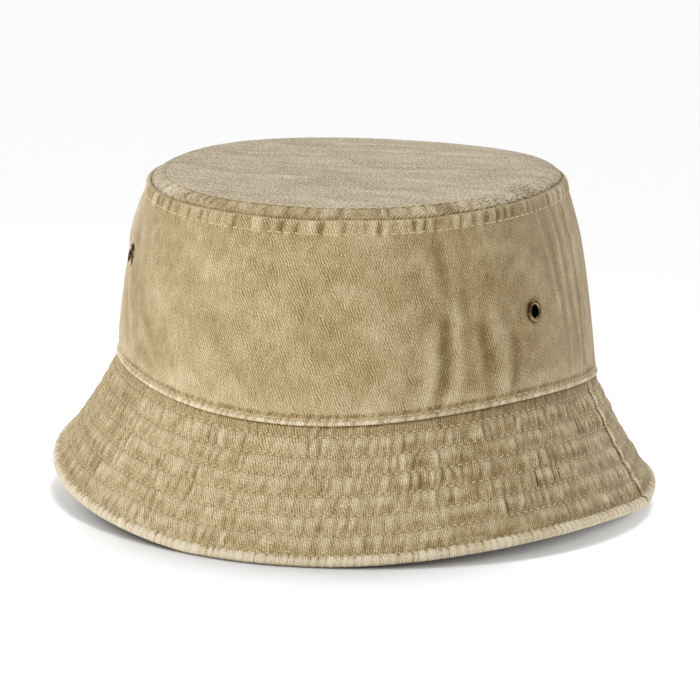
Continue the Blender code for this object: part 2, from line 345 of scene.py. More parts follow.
def stitch_mesh(name, rings, length, gap, radius):
    """Single stitches along rings of (points, normals), each a short bowed thread."""
    verts, faces = [], []
    base, sides, stations, sink = 0, 6, 7, 0.30
    s = np.linspace(0.0, 1.0, stations)
    body = radius * (1.0 - np.abs(2 * s - 1) ** 3.0) ** 0.5 * 0.75 + radius * 0.25
    lift = (radius * 0.55 + sink) * (1.0 - np.abs(2 * s - 1) ** 4.0) - sink
    ang = np.arange(sides) / sides * 2 * np.pi
    for pts, nrm in rings:
        pts, nrm = (join([line, line[:1]]) for line in (pts, nrm))
        arc = join([[0.0], np.cumsum(np.linalg.norm(np.diff(pts, axis=0), axis=1))])
        count = int(round(arc[-1] / length))
        pitch = arc[-1] / count
        rs = np.random.RandomState(count + 11)
        starts = np.arange(count) * pitch + gap / 2
        t = starts[:, None] + s * (pitch - gap)
        t = t + rs.uniform(-0.06, 0.06, (count, 1)) * pitch
        centre, up = (np.stack([np.interp(t, arc, line[:, k]) for k in range(3)], -1)
                      for line in (pts, nrm))
        up = unit(up)
        along = unit(np.gradient(centre, axis=1))
        side = unit(np.cross(along, up))
        tilt = rs.uniform(-0.14, 0.14, (count, 1, 1)) * (s[:, None] - 0.5) * pitch
        centre = centre + up * lift[:, None] + side * tilt
        ring = (side[:, :, None] * np.cos(ang)[:, None]
                + up[:, :, None] * np.sin(ang)[:, None] * 0.85)
        tube = centre[:, :, None] + ring * body[:, None, None]
        verts.append(tube.reshape(-1, 3))
        one = grid_faces(stations, sides, True)[:, ::-1]
        each = np.arange(count)[:, None, None] * stations * sides + one + base
        faces.append(each.reshape(-1, 4))
        base += count * stations * sides
    return close_ends(new_mesh(name, join(verts), join(faces)))


def add_stitches(name, rings, length, gap, radius, node=None):
    mesh = stitch_mesh(name, rings, length, gap, radius)
    add_piece(name + "_thread" if node else name, mesh, MATS["thread"],
              [node] if node else ())


def close_ends(mesh):
    bm = bmesh.new()
    bm.from_mesh(mesh)
    open_edges = [e for e in bm.edges if len(e.link_faces) == 1]
    bmesh.ops.holes_fill(bm, edges=open_edges, sides=0)
    bmesh.ops.recalc_face_normals(bm, faces=bm.faces)
    for f in bm.faces:
        f.smooth = True
    bm.to_mesh(mesh)
    bm.free()
    return mesh


# --- materials ---

class Nodes:
    """Small helper that builds a node tree by name."""

    def __init__(self, name):
        self.mat = bpy.data.materials.new(name)
        self.mat.use_nodes = True
        self.tree = self.mat.node_tree
        self.tree.nodes.clear()
        out = self.tree.nodes.new("ShaderNodeOutputMaterial")
        self.shader = self.tree.nodes.new("ShaderNodeBsdfPrincipled")
        self.link(self.shader.outputs[0], out.inputs[0])

    def link(self, a, b):
        self.tree.links.new(a, b)

    def node(self, kind, values=(), **props):
        """Adds a node, sets its properties, and sets or links its inputs."""
        n = self.tree.nodes.new(kind)
        for k, v in props.items():
            setattr(n, k, v)
        for k, v in dict(values).items():
            self.put(v, n.inputs[k])
        return n

    def put(self, value, socket):
        if hasattr(value, "links"):
            self.link(value, socket)
        else:
            socket.default_value = value

    def surface(self, **values):
        """Sets the shader's inputs, named with _ for a space."""
        for name, value in values.items():
            self.put(value, self.shader.inputs[name.replace("_", " ")])

    def bump(self, height, strength, distance):
        n = self.node("ShaderNodeBump",
                      {"Height": height, "Strength": strength, "Distance": distance})
        self.surface(Normal=n.outputs[0])

    def math(self, op, a, b=0.0):
        return self.node("ShaderNodeMath", {0: a, 1: b}, operation=op).outputs[0]

    def add(self, a, b):
        return self.math("ADD", a, b)

    def times(self, a, b):
        return self.math("MULTIPLY", a, b)

    def wave(self, turns, low):
        """A sine from low to 1, once for each turn."""
        return self.remap(self.math("SINE", self.times(turns, 2 * math.pi)), -1.0, 1.0, low, 1.0)

    def mix(self, fac, a, b):
        return self.node("ShaderNodeMix", {0: fac, 6: a, 7: b}, data_type="RGBA").outputs[2]

    def noise(self, vector, scale, detail=2.0, rough=0.5):
        return self.node("ShaderNodeTexNoise", {"Vector": vector, "Scale": scale, "Detail": detail,
                                                "Roughness": rough}).outputs["Fac"]

    def remap(self, *value_and_ranges):
        return self.node("ShaderNodeMapRange", enumerate(value_and_ranges)).outputs[0]

    def ramp(self, place, colours):
        n = self.node("ShaderNodeValToRGB", {0: place})
        while len(n.color_ramp.elements) < len(colours):
            n.color_ramp.elements.new(0.5)
        for i, c in enumerate(colours):
            n.color_ramp.elements[i].position = i / (len(colours) - 1)
            n.color_ramp.elements[i].color = c
        return n.outputs[0]

    def attr(self, name):
        return self.node("ShaderNodeAttribute", attribute_name=name).outputs["Fac"]


def lin(r, g, b):
    """sRGB 0 to 255 to linear."""
    scaled = [c / 255.0 for c in (r, g, b)]
    return (*[c / 12.92 if c <= 0.04045 else ((c + 0.055) / 1.055) ** 2.4 for c in scaled], 1.0)


RIB_PITCH = 0.81                # twill ribs, mm
FLOAT_LENGTH = 1.7              # each rib is a row of floating yarns this long, mm


def twill(name, colours, washed=None, lean=64.0, ribs=0.85, flecks=2.4, clouds=1.0, yarns=0.9,
          yarn_size=(1.7, 0.18), fuzz=0.0):
    """Washed cotton twill: fine steep ribs and flecked yarn. The mesh's "tone" attribute,
    -1 for unworn hollows to 1 for abraded crests, with painted shade and light also carried
    in it, and the weave both pick from one ramp. Its "wash" attribute turns from
    colours to the greyer washed shades, which stand partly for wear and partly for painted
    sheen, and fuzz is how much more flecked the cloth is there."""
    m = Nodes(name)
    uv = m.node("ShaderNodeUVMap", uv_map="cloth").outputs[0]
    mm = m.node("ShaderNodeVectorMath", {0: uv, 3: 1.0 / UV_PER_MM}, operation="SCALE").outputs[0]
    stretched = m.node("ShaderNodeMapping", {
        "Vector": mm, "Scale": (1.0 / yarn_size[0], 1.0 / yarn_size[1], 1.0)},
        vector_type="TEXTURE").outputs[0]
    u, v, _ = m.node("ShaderNodeSeparateXYZ", {0: mm}).outputs
    a = math.radians(lean)
    sin_a, cos_a = math.sin(a), math.cos(a)
    across = m.add(m.times(u, sin_a), m.times(v, cos_a))
    along = m.math("SUBTRACT", m.times(v, sin_a), m.times(u, cos_a))
    wander = m.remap(m.noise(mm, 0.16, 3.0), 0.0, 1.0, -1.2, 1.2)
    phase = m.math("DIVIDE", m.add(across, wander), RIB_PITCH)
    step = m.times(m.math("FLOOR", m.add(phase, 0.25)), 0.37)      # each rib's yarns start on
    float_at = m.add(m.math("DIVIDE", along, FLOAT_LENGTH), step)
    weave = m.times(m.wave(phase, 0.0), m.wave(float_at, 0.7))
    fleck = m.noise(mm, 2.0, 2.0, 0.7)
    yarn = m.noise(stretched, 1.0)
    cloud = m.noise(mm, 0.17, 3.0, 0.6)
    blotch = m.noise(mm, 0.05, 2.0, 0.5)

    tone = m.attr("tone")
    for value, middle, amount in ((weave, 0.42, ribs), (fleck, 0.5, flecks), (yarn, 0.5, yarns),
                                  (cloud, 0.5, 0.85 * clouds), (blotch, 0.5, 0.7 * clouds)):
        if fuzz and value in (fleck, yarn):
            amount = m.add(m.times(m.attr("wash"), fuzz), amount)
        tone = m.add(tone, m.times(m.math("SUBTRACT", value, middle), amount))
    place = m.remap(tone, -1.0, 1.0, 0.0, 1.0)
    colour = m.ramp(place, colours)
    # The washed shades stand partly for wear and partly for painted sheen.
    if washed:
        colour = m.mix(m.attr("wash"), colour, m.ramp(place, washed))
    m.surface(Base_Color=colour, Roughness=0.94, Specular_IOR_Level=0.12, Sheen_Weight=0.22,
              Sheen_Roughness=0.55)
    m.bump(m.add(m.times(weave, 0.9), m.times(fleck, 0.5)), 0.6, 0.00025)
    return m.mat


def cotton(name, colour, dark, kind):
    """Thread, tape or lining cloth: two sizes of noise turn the colour darker."""
    fine_scale, low, fine_share, patch_scale, patch_share, rough, gloss, deep = kind
    m = Nodes(name)
    co = m.node("ShaderNodeTexCoord").outputs["Object"]
    fine, patch = m.noise(co, fine_scale, 2.0), m.noise(co, patch_scale, 3.0)
    col = m.mix(m.remap(fine, low, 0.7, 0.0, fine_share), colour, dark)
    col = m.mix(m.remap(patch, 0.4, 0.7, 0.0, patch_share), col, dark)
    m.surface(Base_Color=col, Roughness=rough, Specular_IOR_Level=gloss)
    m.bump(fine, 0.5, deep)
    return m.mat


def brass_mat(name):
    """Antiqued brass. The mesh's "tone" attribute is -1 where the metal lies in the dark."""
    m = Nodes(name)
    co = m.node("ShaderNodeTexCoord").outputs["Object"]
    patina = m.noise(co, 420.0, 3.0, 0.6)
    fine = m.noise(co, 2600.0, 2.0)
    col = m.mix(m.remap(patina, 0.35, 0.7, 0.0, 1.0), lin(146, 121, 76), lin(104, 85, 52))
    col = m.mix(m.remap(m.attr("tone"), 0.0, -1.0, 0.0, 1.0), col, lin(26, 20, 12))
    m.surface(Base_Color=col, Metallic=1.0, Roughness=m.remap(patina, 0.3, 0.7, 0.20, 0.32))
    m.bump(fine, 0.15, 0.00004)
    return m.mat


def shades(*rgbs):
    return [lin(*rgb) for rgb in rgbs]


# Five shades of each cloth, from unworn hollows and painted shade to abraded crests and painted
# light.
CLOTH_SHADES = shades((110, 88, 50), (147, 124, 81), (181, 160, 117), (210, 193, 158),
                      (233, 221, 196))
WASHED_AND_SHEEN_SHADES = shades((118, 99, 64), (154, 135, 99), (183, 167, 137), (207, 192, 164),
                       (230, 219, 197))
UNDER_SHADES = shades((112, 92, 58), (146, 124, 86), (176, 154, 114), (202, 184, 148),
                      (224, 210, 182))
# Fine noise scale, start and share, patch scale and share, roughness, specular, bump depth.
THREAD = (2600.0, 0.35, 0.75, 60.0, 0.35, 0.8, 0.25, 0.0001)
WOVEN = (1400.0, 0.3, 0.6, 45.0, 0.4, 0.93, 0.15, 0.0002)
MATS = {
    "twill": twill("washed twill", CLOTH_SHADES, WASHED_AND_SHEEN_SHADES),
    "brim": twill("washed twill brim", CLOTH_SHADES, WASHED_AND_SHEEN_SHADES, lean=70.0, flecks=3.3,
                  clouds=0.4),
    "tip": twill("washed twill tip", CLOTH_SHADES, WASHED_AND_SHEEN_SHADES, lean=108.0, clouds=1.1,
                 ribs=0.9, flecks=1.8, yarns=1.0, yarn_size=(1.3, 0.6), fuzz=2.8),
    "underside": twill("washed twill underside", UNDER_SHADES, lean=70.0, flecks=1.9),
    "thread": cotton("khaki thread", lin(228, 211, 175), lin(186, 163, 122), THREAD),
    "tape": cotton("woven tape", lin(176, 156, 120), lin(140, 120, 86), WOVEN),
    "band": cotton("sweatband cotton", lin(184, 165, 130), lin(150, 131, 98), WOVEN),
    "interlining": cotton("interlining", lin(214, 211, 202), lin(180, 176, 166), WOVEN),
    "brass": brass_mat("antique brass"),
}


# --- crown side ---

BULGE_T = [0.0, 0.012, 0.045, 0.070, 0.12, 0.36, 0.66, 0.90, 0.955, 0.968, 0.980, 0.990, 1.0]
BULGE_OFF = [0.0, 0.8, 1.1, 1.1, 1.5, 2.5, 2.0, 0.8, 0.50, 0.42, 0.40, 0.85, 0.75]


def curve_through(xs, ys, x):
    """Smooth curve through points without overshoot (monotone cubic)."""
    xs, ys, x = (np.asarray(q, float) for q in (xs, ys, x))
    h = np.diff(xs)
    d = np.diff(ys) / h
    m = np.zeros_like(ys)
    for i in range(1, len(xs) - 1):
        if d[i - 1] * d[i] > 0:
            w1, w2 = 2 * h[i] + h[i - 1], h[i] + 2 * h[i - 1]
            m[i] = (w1 + w2) / (w1 / d[i - 1] + w2 / d[i])
    m[0], m[-1] = d[0], d[-1]
    i = np.clip(np.searchsorted(xs, x) - 1, 0, len(xs) - 2)
    t = np.clip((x - xs[i]) / h[i], 0.0, 1.0)
    return ((2 * t ** 3 - 3 * t ** 2 + 1) * ys[i] + (t ** 3 - 2 * t ** 2 + t) * h[i] * m[i]
            + (-2 * t ** 3 + 3 * t ** 2) * ys[i + 1] + (t ** 3 - t ** 2) * h[i] * m[i + 1])


MM_PER_DEG = 1.55               # round the crown, about
# Long soft creases in the side panels: angle and height (0 top, 1 bottom) of both ends,
# width in mm and height in mm.
CREASES = [
    (36, 0.55, 34, 0.97, 3.4, 0.6),
    (40, 0.5, 37.5, 0.98, 3, -0.85),
    (43, 0.42, 41.5, 0.96, 3.2, 0.6),
    (49, 0.52, 50.5, 0.92, 3, -0.65),
    (53, 0.45, 54.5, 0.97, 3.4, 0.55),
    (59, 0.62, 58, 0.95, 2.8, -0.7),
    (34, 0.1, 38, 0.42, 4.5, 0.4),
    (38.5, 0.12, 41.5, 0.45, 3.4, -0.65),
    (46, 0.28, 45, 0.52, 3, -0.45),
    (22, 0.62, 18, 0.97, 5, -0.35),
    (-64, 0.2, -44, 0.92, 4.5, 0.5),
    (-57, 0.12, -38, 0.75, 5, -0.4),
    (-76, 0.45, -60, 0.95, 3.5, 0.4),
    (-30, 0.55, -22, 0.97, 5, 0.25),
    (8, 0.7, 12, 0.97, 5, 0.25),
    (75, 0.05, 77.5, 0.62, 1.2, 0.26),
    (79, 0.04, 79, 0.7, 1.1, -0.22),
    (81.5, 0.12, 81, 0.95, 1.2, 0.3),
    (84, 0.06, 84.5, 0.85, 1.1, -0.25),
    (87, 0.1, 86.5, 0.97, 1.2, 0.28),
    (-74, 0.1, -60, 0.42, 1.8, 0.62),
    (-70, 0.14, -56, 0.46, 1.6, -0.45),
    (-64, 0.48, -62, 0.94, 1.5, 0.4),
]


def creases(deg, t):
    """Sum of the side panels' creases on a grid."""
    total = np.zeros(np.broadcast(deg, t).shape)
    for d0, t0, d1, t1, width, height in CREASES:
        frac = np.clip((t - t0) / (t1 - t0), 0.0, 1.0)
        middle = d0 + (d1 - d0) * frac + 1.1 * value_noise(frac * 0.0 + d0, t * 5.0, 9, 41)
        away = (deg - middle) * MM_PER_DEG
        ends = smooth(t, t0 - 0.08, t0 + 0.12) * (1 - smooth(t, t1 - 0.12, t1 + 0.05))
        total += height * bump(away, 0.0, width) * ends
    return total


WORN_AND_SHEEN_SIDE_DEG = -88.0           # the crown is washed palest here, partly wear and partly painted sheen where the side light falls, degrees from the front
TOP_PUCKERS = [puckers(BASE_ROUND, 4.0, 9.0, 31, 1.3), puckers(BASE_ROUND, 2.4, 5.5, 32, 0.8)]
LIP_PUCKERS = [puckers(BASE_ROUND, 1.8, 4.2, 33), puckers(BASE_ROUND, 2.0, 5.0, 34)]


def side_relief(D, T, arc):
    """Height of the side panel's wrinkles in mm, its tone and how washed it is, partly wear and
    partly painted sheen.
    """
    u = arc / BASE_ROUND
    v = T * PANEL_MM
    slow = 0.50 * fractal(u, v / 26.0, 24, 21, 3)
    fold = creases(D, T)
    top = TOP_PUCKERS[0](arc + 0.25 * v) + 0.5 * TOP_PUCKERS[1](arc)
    in_top = smooth(T, 0.0, 0.015) * (1 - smooth(T, 0.055, 0.095))
    low = LIP_PUCKERS[0](arc + 0.5 * v) + 0.5 * LIP_PUCKERS[1](arc)
    in_low = smooth(T, 0.90, 0.965) * (1 - 0.6 * smooth(T, 0.973, 0.982))
    h = slow + fold + 0.34 * top * in_top + 0.22 * low * in_low
    h = h - 0.22 * bump(v, BAND_ROW * PANEL_MM, 0.55) - 0.25 * bump(v, BASE_ROW * PANEL_MM, 0.5)
    tone = 0.48 * relief(slow + fold, 7) + 0.14 * fractal(u, v / 18.0, 34, 71, 3)
    tone = tone + 0.62 * top * in_top + 0.22 * (1 - smooth(T, 0.0, 0.035))
    fold_shadow = bump(v, BASE_ROW * PANEL_MM - 1.1, 0.8)
    tone = tone - 0.36 * fold_shadow * np.clip(0.8 - 1.6 * low, 0, 1.6)
    tone = tone + 0.20 * smooth(T, 0.80, 0.94) * (1 - smooth(T, 0.945, 0.955))
    tone = tone + (0.62 + 0.60 * low) * smooth(T, 0.978, 0.984)
    tone = tone - 0.25 * (1 - smooth(T, 0.0, 0.006)) - 0.04
    # The -X side, where the side light falls, is palest: partly wear, partly painted sheen.
    from_worn_and_sheen_side = np.abs((D - WORN_AND_SHEEN_SIDE_DEG + 180.0) % 360.0 - 180.0)
    wash = 1.0 - smooth(from_worn_and_sheen_side, 12.0, 44.0) + 0.25 * np.clip(top * in_top, 0, 1)
    # Painted shade: darker towards +X, away from the side light, and a little darker on the lit -X
    # side too.
    painted_side_shade = 0.28 * smooth(D, 20.0, 60.0) + 0.22 * smooth(-D, 20.0, 45.0)
    return h, tone + 0.28 * wash - painted_side_shade, np.clip(wash, 0.0, 1.0)


def seam_groove(away, width):
    """Two panels meeting at a side seam, its allowance raised behind it."""
    h = 0.50 * smooth(away, 0.2, 1.3) * (1 - smooth(away, 3.6, 6.5))
    return h - 1.1 * bump(away, 0.0, width)


def seam_tone(away):
    return 0.75 * smooth(away, 0.4, 1.2) * (1 - smooth(away, 2.2, 4.2)) - 1.1 * bump(away, 0.0, 0.6)


def away_from_seams(arc, table):
    """Distance past each side seam towards the back, in mm."""
    length = table[-1] - table[0]
    for sign in (1.0, -1.0):
        away = sign * (arc - arc_of(sign * SEAM_DEG, table))
        yield (away + length / 2) % length - length / 2


EYELETS = {
    "front_left": (66.5, 0.565), "front_right": (-57.0, 0.41),
    "back_left": (119.5, 0.53), "back_right": (-119.5, 0.53),
}


LIP_R = 0.50                    # radius of the fold at the bottom of the panels, mm
SIDE_CUT = Cut(TIP_ROUND, BASE_ROUND, PANEL_MM)


def side_surface(deg, t):
    """Points of the finished side panel skin for angles deg and heights t."""
    return between(crown_line(deg), t, curve_through(BULGE_T, BULGE_OFF, t))


def build_side(half):
    deg = columns(*HALVES[half], 0.62, BASE_ARC)
    t = join([np.linspace(0.0, 0.14, int(24 * DETAIL), endpoint=False),
              np.linspace(0.14, 0.88, int(66 * DETAIL), endpoint=False),
              np.linspace(0.88, 1.0, int(34 * DETAIL))])
    D, T = np.meshgrid(deg, t)
    arc = arc_of(D, BASE_ARC)
    base = side_surface(D, T)
    normal = normals_of(base)
    h, tone, wash = side_relief(D, T, arc)
    for away in away_from_seams(arc, BASE_ARC):
        h = h + 0.22 * seam_groove(away, 0.4)
        tone = tone + 0.12 * seam_tone(away)
    for e_deg, e_t in EYELETS.values():      # flat seats under the eyelets
        d = np.hypot((((D - e_deg) + 180) % 360 - 180) * 1.6, (T - e_t) * PANEL_MM)
        h = h * (1 - bump(d, 0.0, 6.5)) - 0.35 * bump(d, 0.0, 3.6)
        # Painted shadow: a dark ring round each eyelet's flange.
        tone = tone - 0.35 * bump(d, 4.3, 0.9)
    pts = base + normal * h[..., None]

    # Turned-in top edge, and the folded lip at the bottom.
    out = outward_of(deg, BASE_OVAL)[None]
    drops = ((1.3, 3.0), (1.0, 1.4), (0.55, 0.45))
    head = join([pts[:1] - out * k - UP * z for k, z in drops])
    n_out = normal[-1:]
    down = unit(pts[-1:] - pts[-5:-4])
    lip = []
    for ang in np.radians([35, 75, 115, 150, 180]):
        lip.append(pts[-1:] + n_out * (LIP_R * (math.cos(ang) - 1)) + down * LIP_R * math.sin(ang))
    lip += [pts[-1:] - n_out * 2 * LIP_R - down * k for k in (1.5, 3.5)]
    grid = join([head, pts] + lip)
    v = join([[-3.2, -1.7, -0.6], t * PANEL_MM,
              PANEL_MM + np.array([0.4, 0.8, 1.2, 1.6, 1.9, 3.4, 5.4])])
    tone = join([np.full((3, len(deg)), -0.4), tone, np.repeat(tone[-1:], len(lip), 0) * 0.5])
    wash = join([wash[:1]] * 3 + [wash] + [wash[-1:]] * len(lip))
    keep = np.ones(grid.shape[:2], bool)
    for place in EYELETS.values():           # round holes through the cloth
        middle, axes = eyelet_frame(*place)
        local = (grid - middle) @ axes.T
        keep &= ~((np.hypot(local[..., 0], local[..., 1]) < 2.6) & (np.abs(local[..., 2]) < 4))
    cloth = SIDE_CUT.place(arc_of(deg, BASE_ARC)[None], v[:, None], PANEL_MM,
                           arc_of(0.5 * sum(HALVES[half]), BASE_ARC))
    add_cloth("side_panel_" + half, grid, cloth, tone, ("twill", "twill"), CROWN_CLOTH,
              (SIDE_CUT.width + 4, SIDE_CUT.length + 9, SIDE_CUT.area * 1.12),
              keep=keep, wash=wash)
    return t, pts


# --- eyelets ---

def eyelet_frame(deg, t):
    """Middle and axes (rows: across, up, out) of an eyelet on the smooth side panel."""
    near = np.array([-1.0, 0.0, 1.0])
    p = side_surface(*np.meshgrid(deg + 0.5 * near, t + 0.01 * near))
    x = unit(p[1, 2] - p[1, 0])
    z = unit(np.cross(p[2, 1] - p[0, 1], p[1, 2] - p[1, 0]))
    y = np.cross(z, x)
    return p[1, 1] - z * 0.35, np.stack([x, y, z])


def turned(name, profile, middle, axes, steps=56):
    """A closed brass ring turned from a closed profile of (radius, height) in mm."""
    radius, height = np.array(profile).T[:, :, None]
    ang = np.arange(steps) / steps * 2 * np.pi
    pts = np.stack([radius * np.cos(ang), radius * np.sin(ang), height + 0.0 * ang], -1)
    faces = grid_faces(len(radius) + 1, steps, True) % (len(radius) * steps)
    # Painted shade darkens the hole's wall and the outer rim.
    tone = np.select([radius < 2.3, radius > 3.7], [-1.0, -0.55], 0.0)
    world = pts.reshape(-1, 3) @ axes + middle
    mesh = new_mesh(name + "_brass", world, faces, attrs={"tone": np.repeat(tone, steps)})
    add_piece(name + "_brass", close_ends(mesh), MATS["brass"], [name])


def arc_pts(cx, cy, r, a0, a1, n):
    a = np.radians(np.linspace(a0, a1, n))
    return [(cx + r * math.cos(q), cy + r * math.sin(q)) for q in a]


def build_eyelets():
    # Rolled flange, hole wall, and the barrel's end turned over the washer.
    flange = [(2.15, -1.7), (2.15, -0.4), (2.17, 0.2)]
    flange += arc_pts(2.92, 0.45, 0.75, 180, 60, 9)
    flange += arc_pts(3.35, 0.15, 0.72, 60, -20, 8)
    flange += [(4.0, -0.25), (3.6, -0.15), (3.0, 0.15), (2.45, -0.05), (2.4, -1.7)]
    flange += arc_pts(2.62, -1.95, 0.22, 120, 270, 5) + arc_pts(2.5, -1.95, 0.35, 270, 180, 5)
    washer = [(2.75, -0.95), (2.75, -1.35), (3.2, -1.55), (4.1, -1.55), (4.55, -1.3),
              (4.55, -1.1), (4.2, -0.95)]
    for name, place in EYELETS.items():
        turned("eyelet_" + name, flange, *eyelet_frame(*place))
        turned("eyelet_washer_" + name, washer, *eyelet_frame(*place))


# --- crown tip ---

TIP_STITCH_IN = 5.4             # topstitch, this far in from the tip's edge, mm
TIP_RISE_IN = [0.0, 0.4, 1.0, 2.0, 3.6, 5.0, 5.8, 8.0, 14.0, 34.0, 90.0]
TIP_RISE = [-0.25, 0.45, 1.05, 1.80, 2.60, 2.95, 3.00, 3.10, 3.2, 3.3, 3.3]
TIP_CREASES = [
    # both ends x, y in mm, then width and height
    (-52, 44, 6, 56, 1.8, 0.2),
    (-20, 36, 52, 44, 2, 0.18),
    (-60, 14, -14, 26, 2, 0.24),
    (-6, 6, 50, 18, 1.8, 0.22),
    (-58, -12, -22, -2, 1.6, 0.22),
    (-34, -36, 4, -26, 1.8, 0.2),
    (10, -20, 56, -28, 2, 0.18),
]
TIP_PUCKERS = puckers(TIP_ROUND, 3.0, 8.0, 61)


def tip_relief(x, y, inward, arc):
    """Height of the tip's creases and puckers, its tone and how washed it is, partly wear and
    partly painted sheen.
    """
    span = 400.0                # repeat of the noise across the tip, mm
    h = 0.55 * fractal(x / span + 0.5, y / 26.0, span / 40.0, 51, 3)
    line = 0.0
    for x0, y0, x1, y1, width, height in TIP_CREASES:
        dx, dy = x1 - x0, y1 - y0
        length = math.hypot(dx, dy)
        s = ((x - x0) * dx + (y - y0) * dy) / length
        d = ((x - x0) * -dy + (y - y0) * dx) / length
        d = d + 2.0 * value_noise(s / span + 0.5, y * 0.0 + x0, span / 18.0, 5)
        ends = smooth(s, -4, 14) * (1 - smooth(s, length - 14, length + 4))
        ridge = bump(d, 0.0, width) - 0.3 * bump(d, -1.8 * width, 1.6 * width)
        line = line + height * ridge * ends
    inner = smooth(inward, 6.0, 11.0)
    front = 0.5 + 0.5 * np.cos(arc / TIP_ROUND * 2 * np.pi - 0.15)
    edge = TIP_PUCKERS(arc) * (0.2 + 0.8 * front)
    margin = smooth(inward, 0.4, 1.5) * (1 - smooth(inward, 4.6, 6.4))
    grooves = 0.20 * bump(inward, TIP_STITCH_IN, 0.55)
    brown = smooth(front, 0.80, 0.96) * (1 - smooth(inward, 4.4, 6.8))
    tone = 1.5 * line * inner + 0.55 * edge * margin - 0.10 * brown
    tone = tone + 0.30 * fractal(x / span + 0.5, y / 7.0, span / 22.0, 57, 3)
    tone = tone - 0.3 * (1 - smooth(inward, 0.15, 0.6))
    # Painted shadow: a dark line just outside the topstitch, at the front.
    tone = tone - 0.55 * front * bump(inward, TIP_STITCH_IN - 0.75, 0.5)
    # The washed shades, partly painted sheen, cover all but the front margin.
    return (h + line) * inner + 0.20 * edge * margin - grooves * front, tone, 1.0 - 0.9 * brown


def build_tip():
    deg = columns(-180.0, 180.0, 0.8, TIP_ARC)[:-1]
    rim = tip_seam(deg) - outward_of(deg, TIP_OVAL) * 0.75
    mid = np.array([TIP_OVAL[3], TIP_OVAL[4], TIP_HEIGHT])
    reach = np.linalg.norm(rim - mid, axis=1)
    f = join([np.linspace(0.02, 0.88, int(95 * DETAIL), endpoint=False),
              np.linspace(0.88, 1.0, int(36 * DETAIL))])
    flat = mid + (rim - mid) * f[:, None, None]
    inward = (1.0 - f)[:, None] * reach
    arc = np.repeat(arc_of(deg, TIP_ARC)[None], len(f), 0)
    h, tone, wash = tip_relief(flat[..., 0], flat[..., 1], inward, arc)
    pts = flat.copy()
    pts[..., 2] += tip_wave(deg[None], f[:, None]) - tip_wave(deg, 1.0)[None] * f[:, None]
    pts[..., 2] += curve_through(TIP_RISE_IN, TIP_RISE, inward) + h
    down = np.stack([rim - UP * 1.6, rim - UP * 3.4])       # turned down into the seam
    grid = join([pts, down])
    tone = join([tone, np.full((2, len(deg)), -0.4)])
    wash = join([wash, wash[-1:], wash[-1:]])
    faces = grid_faces(*grid.shape[:2], True)
    uv = grid.reshape(-1, 3)[faces][..., :2] * UV_PER_MM
    mesh = cap_middle(new_mesh("crown_tip_cloth", grid.reshape(-1, 3), faces, uv,
                               {"tone": tone, "wash": wash}))
    ob = add_piece("crown_tip_cloth", mesh, MATS["tip"], ["crown_tip"])
    wide, deep = (2 * TIP_OVAL[k] + 10 for k in (0, 1))     # with its seam allowance
    finish_cloth(ob, CROWN_CLOTH, wide, deep, 0.8 * wide * deep)
    frac = 1.0 - TIP_STITCH_IN / reach
    row = mid + (rim - mid) * frac[:, None]
    row[:, 2] += curve_through(TIP_RISE_IN, TIP_RISE, TIP_STITCH_IN) + 0.02
    row[:, 2] += tip_wave(deg, frac) - tip_wave(deg, 1.0) * frac
    row[:, 2] -= 0.45 * smooth(np.abs(deg), 38.0, 70.0)     # pulled deeper at sides and back
    return row, unit(unit(rim - mid) * 0.55 + UP)


def cap_middle(mesh):
    """Fills the small hole in the middle of the tip."""
    bm = bmesh.new()
    bm.from_mesh(mesh)
    layer = bm.loops.layers.uv.verify()
    ring = [e for e in bm.edges if len(e.link_faces) == 1
            and max(v.co.xy.length for v in e.verts) < 0.02]
    filled = bmesh.ops.holes_fill(bm, edges=ring, sides=0)["faces"]
    for face in filled:
        face.smooth = True
        for loop in face.loops:
            loop[layer].uv = loop.vert.co.xy * (UV_PER_MM / MM)
    bmesh.ops.recalc_face_normals(bm, faces=bm.faces)
    bm.to_mesh(mesh)
    bm.free()
    return mesh


# --- brim ---

LANES = [-0.03] + BRIM_ROWS + [1.06]
SHARED = puckers(EDGE_ROUND, 2.6, 6.5, 70, 0.9)
LANE_PUCKERS = [puckers(EDGE_ROUND, 2.4, 5.6, 71 + k, 0.8) for k in range(len(LANES) - 1)]
EDGE_PUCKERS = puckers(EDGE_ROUND, 1.6, 3.6, 90, 0.45)
BRIM_CUT = Cut(BASE_ROUND, EDGE_ROUND, BRIM_MM)


